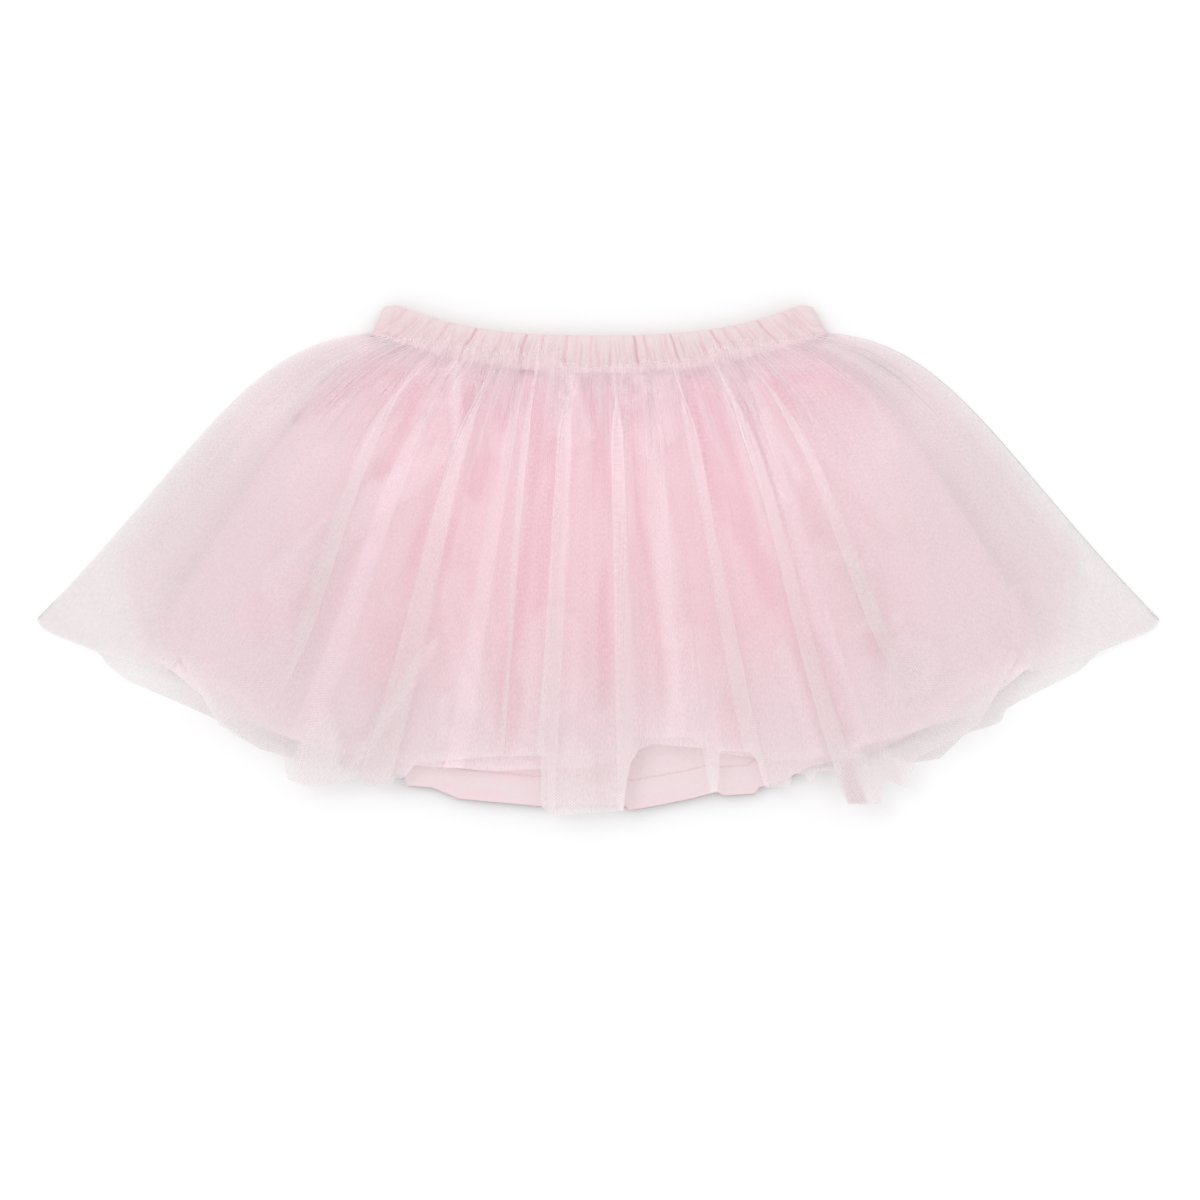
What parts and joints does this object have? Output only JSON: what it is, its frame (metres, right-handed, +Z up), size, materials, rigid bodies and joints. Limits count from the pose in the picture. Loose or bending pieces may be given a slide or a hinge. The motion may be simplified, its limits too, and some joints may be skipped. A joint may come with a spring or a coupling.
{
  "type": "tulle skirt",
  "caption": "Toddler's tulle skirt laid flat, front up, with a gathered elastic waistband, layered tulle panels and a narrower pink lining.",
  "frame": {"origin": "on the surface that the skirt lies on, under the middle of its outline", "axes": "+X across the skirt from the wearer's right side fold to the left one, +Y from the hem to the waist, +Z up out of the front"},
  "size_m": [0.5334, 0.2434, 0.0255],
  "materials": {
    "waistband": "soft gathered cotton, pale blush",
    "tulle": "fine soft net, pale pink, see-through",
    "lining": "plain woven cotton, pink, matte"
  },
  "bodies": {
    "root": {"waistband_front": "waistband", "waistband_back": "waistband", "tulle_outer_front": "tulle", "tulle_outer_back": "tulle", "tulle_middle_front": "tulle", "tulle_middle_back": "tulle", "tulle_inner_front": "tulle", "tulle_inner_back": "tulle", "lining_front": "lining", "lining_back": "lining"}
  },
  "joints": []
}
